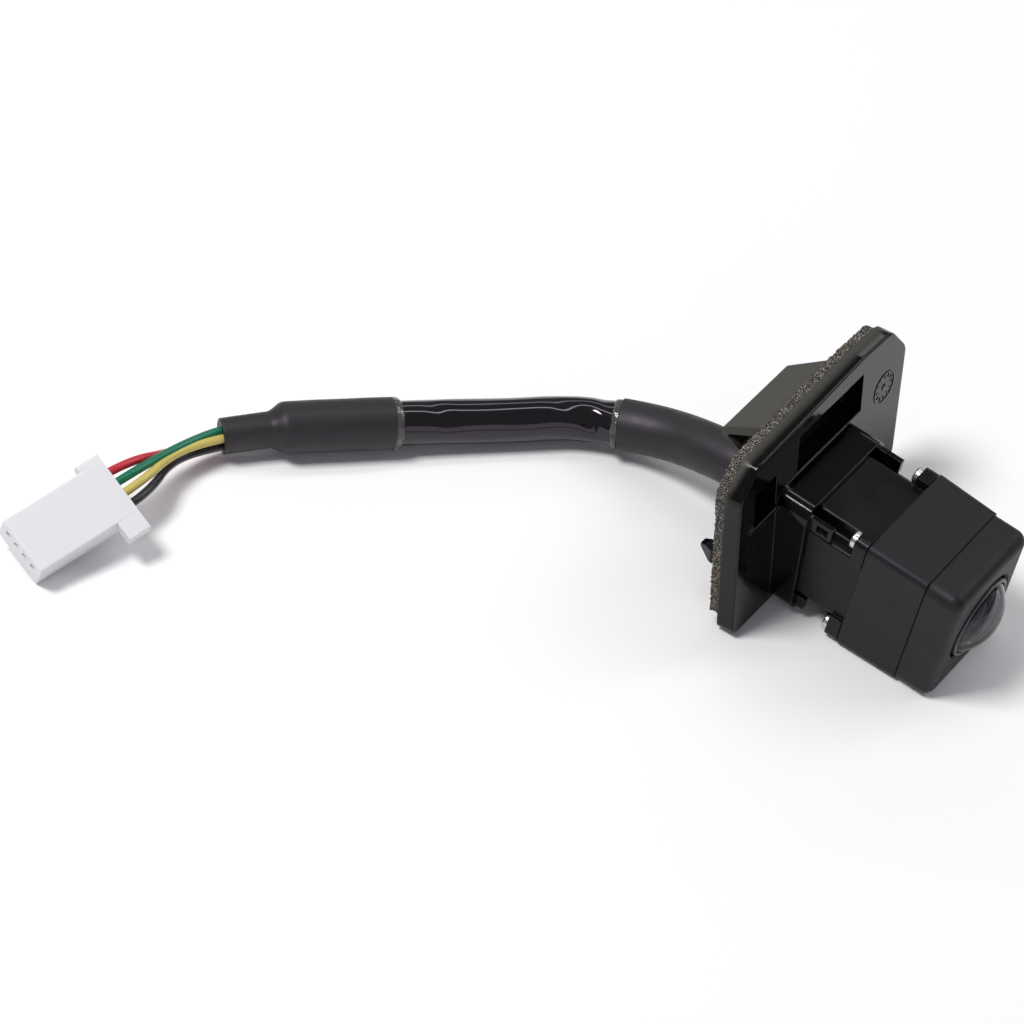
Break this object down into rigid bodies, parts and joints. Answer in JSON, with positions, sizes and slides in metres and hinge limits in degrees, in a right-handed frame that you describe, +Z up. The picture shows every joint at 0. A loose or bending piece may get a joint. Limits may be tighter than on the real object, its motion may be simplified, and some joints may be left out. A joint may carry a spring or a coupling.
{
  "type": "backup camera kit",
  "caption": "Flush-mount rear-view camera head in a snap-in gloss bracket with foam panel gasket and a short sleeved pigtail ending in a flat wire plug.",
  "frame": {"origin": "under the middle of the camera and bracket, on the surface they lie on, pigtail left out", "axes": "+Z up; the lens looks along -Y; +X is along the bracket's long side, away from the plug"},
  "size_m": [0.1392, 0.1536, 0.0408],
  "materials": {
    "cover_plastic": "fine textured moulding, matte",
    "case_plastic": "fine textured moulding, matte",
    "neck_plastic": "smoother moulding, satin",
    "seal_rubber": "matte",
    "screw_steel": "zinc plated, satin",
    "lens_glass": "coated, polished",
    "ring_plastic": "satin grey",
    "barrel_metal": "black anodised",
    "holder_plastic": "matte",
    "circuit_board": "solder mask, satin",
    "chip": "matte",
    "filter_glass": "polished",
    "plug_nylon": "natural white nylon, satin",
    "lead_black": "satin",
    "bracket_gloss": "piano gloss moulding",
    "gasket_foam": "open-cell foam",
    "grommet_rubber": "matte",
    "cable_jacket": "glossy vinyl",
    "shrink_sleeve": "satin heat-shrink",
    "adhesive": "clear hot-melt",
    "wire_red": "vinyl insulation",
    "wire_green": "vinyl insulation",
    "wire_yellow": "vinyl insulation",
    "wire_black": "vinyl insulation",
    "terminal_brass": "tin-flashed, satin"
  },
  "bodies": {
    "camera_and_bracket": {"adhesive_beads": "adhesive", "board_header": "holder_plastic", "board_screws": "screw_steel", "board_spacers": "screw_steel", "bracket": "bracket_gloss", "cable_grommet": "grommet_rubber", "cable_tube": "cable_jacket", "case_screws": "screw_steel", "foam_gasket": "gasket_foam", "front_cover": "cover_plastic", "front_seal": "seal_rubber", "image_sensor": "chip", "infrared_filter": "filter_glass", "internal_leads": "lead_black", "lens_barrel": "barrel_metal", "lens_dome": "lens_glass", "lens_elements": "lens_glass", "lens_holder": "holder_plastic", "lens_ring": "ring_plastic", "lens_seal": "seal_rubber", "middle_case": "case_plastic", "plug_housing": "plug_nylon", "plug_retainer": "plug_nylon", "plug_terminals": "terminal_brass", "processor_board": "circuit_board", "processor_chip": "chip", "rear_body": "neck_plastic", "rear_seal": "seal_rubber", "retaining_tabs": "bracket_gloss", "sensor_board": "circuit_board", "shrink_sleeve_camera_end": "shrink_sleeve", "shrink_sleeve_plug_end": "shrink_sleeve", "wire_black": "wire_black", "wire_green": "wire_green", "wire_red": "wire_red", "wire_socket": "plug_nylon", "wire_yellow": "wire_yellow"},
    "snap_hook_left": {"snap_hook_left": "bracket_gloss"},
    "snap_hook_right": {"snap_hook_right": "bracket_gloss"},
    "plug_lever": {"plug_lever": "plug_nylon"}
  },
  "joints": [
    {"name": "snap_hook_left_flex", "type": "hinge", "parent": "camera_and_bracket", "child": "snap_hook_left", "pos_m": [-0.0198, 0.01369, 0.00999], "axis": [0, -0.1788, -0.9839], "range_deg": [0, 7], "stiffness_Nm_per_rad": 0.6},
    {"name": "snap_hook_right_flex", "type": "hinge", "parent": "camera_and_bracket", "child": "snap_hook_right", "pos_m": [0.0199, 0.01369, 0.00999], "axis": [0, 0.1788, 0.9839], "range_deg": [0, 7], "stiffness_Nm_per_rad": 0.6},
    {"name": "plug_lever_press", "type": "hinge", "parent": "camera_and_bracket", "child": "plug_lever", "pos_m": [-0.09588, 0.11448, 0.00457], "axis": [-0.1646, -0.9379, -0.3054], "range_deg": [0, 5], "stiffness_Nm_per_rad": 0.3}
  ]
}
